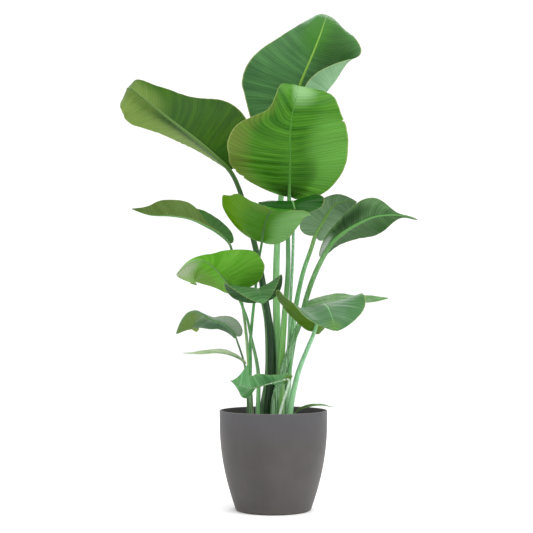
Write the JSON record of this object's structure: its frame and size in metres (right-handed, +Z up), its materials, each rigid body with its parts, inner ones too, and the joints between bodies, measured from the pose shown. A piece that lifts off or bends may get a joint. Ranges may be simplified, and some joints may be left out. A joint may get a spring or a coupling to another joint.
{
  "type": "potted bird of paradise",
  "caption": "Bird of paradise plant with broad paddle leaves on long stalks, growing in soil in a round tapered planter.",
  "frame": {"origin": "centre of the planter's flat base, on the ground", "axes": "+Z up, +X to the right and +Y to the back as seen from the front"},
  "size_m": [0.8471, 0.5514, 1.4563],
  "materials": {
    "pot": "matte, fine grain",
    "soil": "rough, damp potting soil",
    "leaf_top": "satin living leaf, waxy",
    "leaf_front": "satin living leaf, waxy",
    "leaf_left": "satin living leaf, waxy",
    "leaf_arching": "satin living leaf, waxy",
    "leaf_centre": "satin living leaf, waxy",
    "leaf_shaded": "satin living leaf, waxy",
    "leaf_middle_left": "satin living leaf, waxy",
    "leaf_dark_centre": "satin living leaf, waxy",
    "leaf_right_low": "satin living leaf, waxy",
    "leaf_narrow_right": "satin living leaf, waxy",
    "leaf_silvery_right": "satin living leaf, waxy",
    "leaf_far_right": "satin living leaf, waxy",
    "leaf_low_left": "satin living leaf, waxy",
    "leaf_thin_left": "satin living leaf, waxy",
    "leaf_small_front": "satin living leaf, waxy",
    "leaf_rim": "satin living leaf, waxy"
  },
  "bodies": {
    "root": {"pot": "pot", "soil": "soil", "leaf_top": "leaf_top", "leaf_front": "leaf_front", "leaf_left": "leaf_left", "leaf_arching": "leaf_arching", "leaf_centre": "leaf_centre", "leaf_shaded": "leaf_shaded", "leaf_middle_left": "leaf_middle_left", "leaf_dark_centre": "leaf_dark_centre", "leaf_right_low": "leaf_right_low", "leaf_narrow_right": "leaf_narrow_right", "leaf_silvery_right": "leaf_silvery_right", "leaf_far_right": "leaf_far_right", "leaf_low_left": "leaf_low_left", "leaf_thin_left": "leaf_thin_left", "leaf_small_front": "leaf_small_front", "leaf_rim": "leaf_rim"}
  },
  "joints": []
}
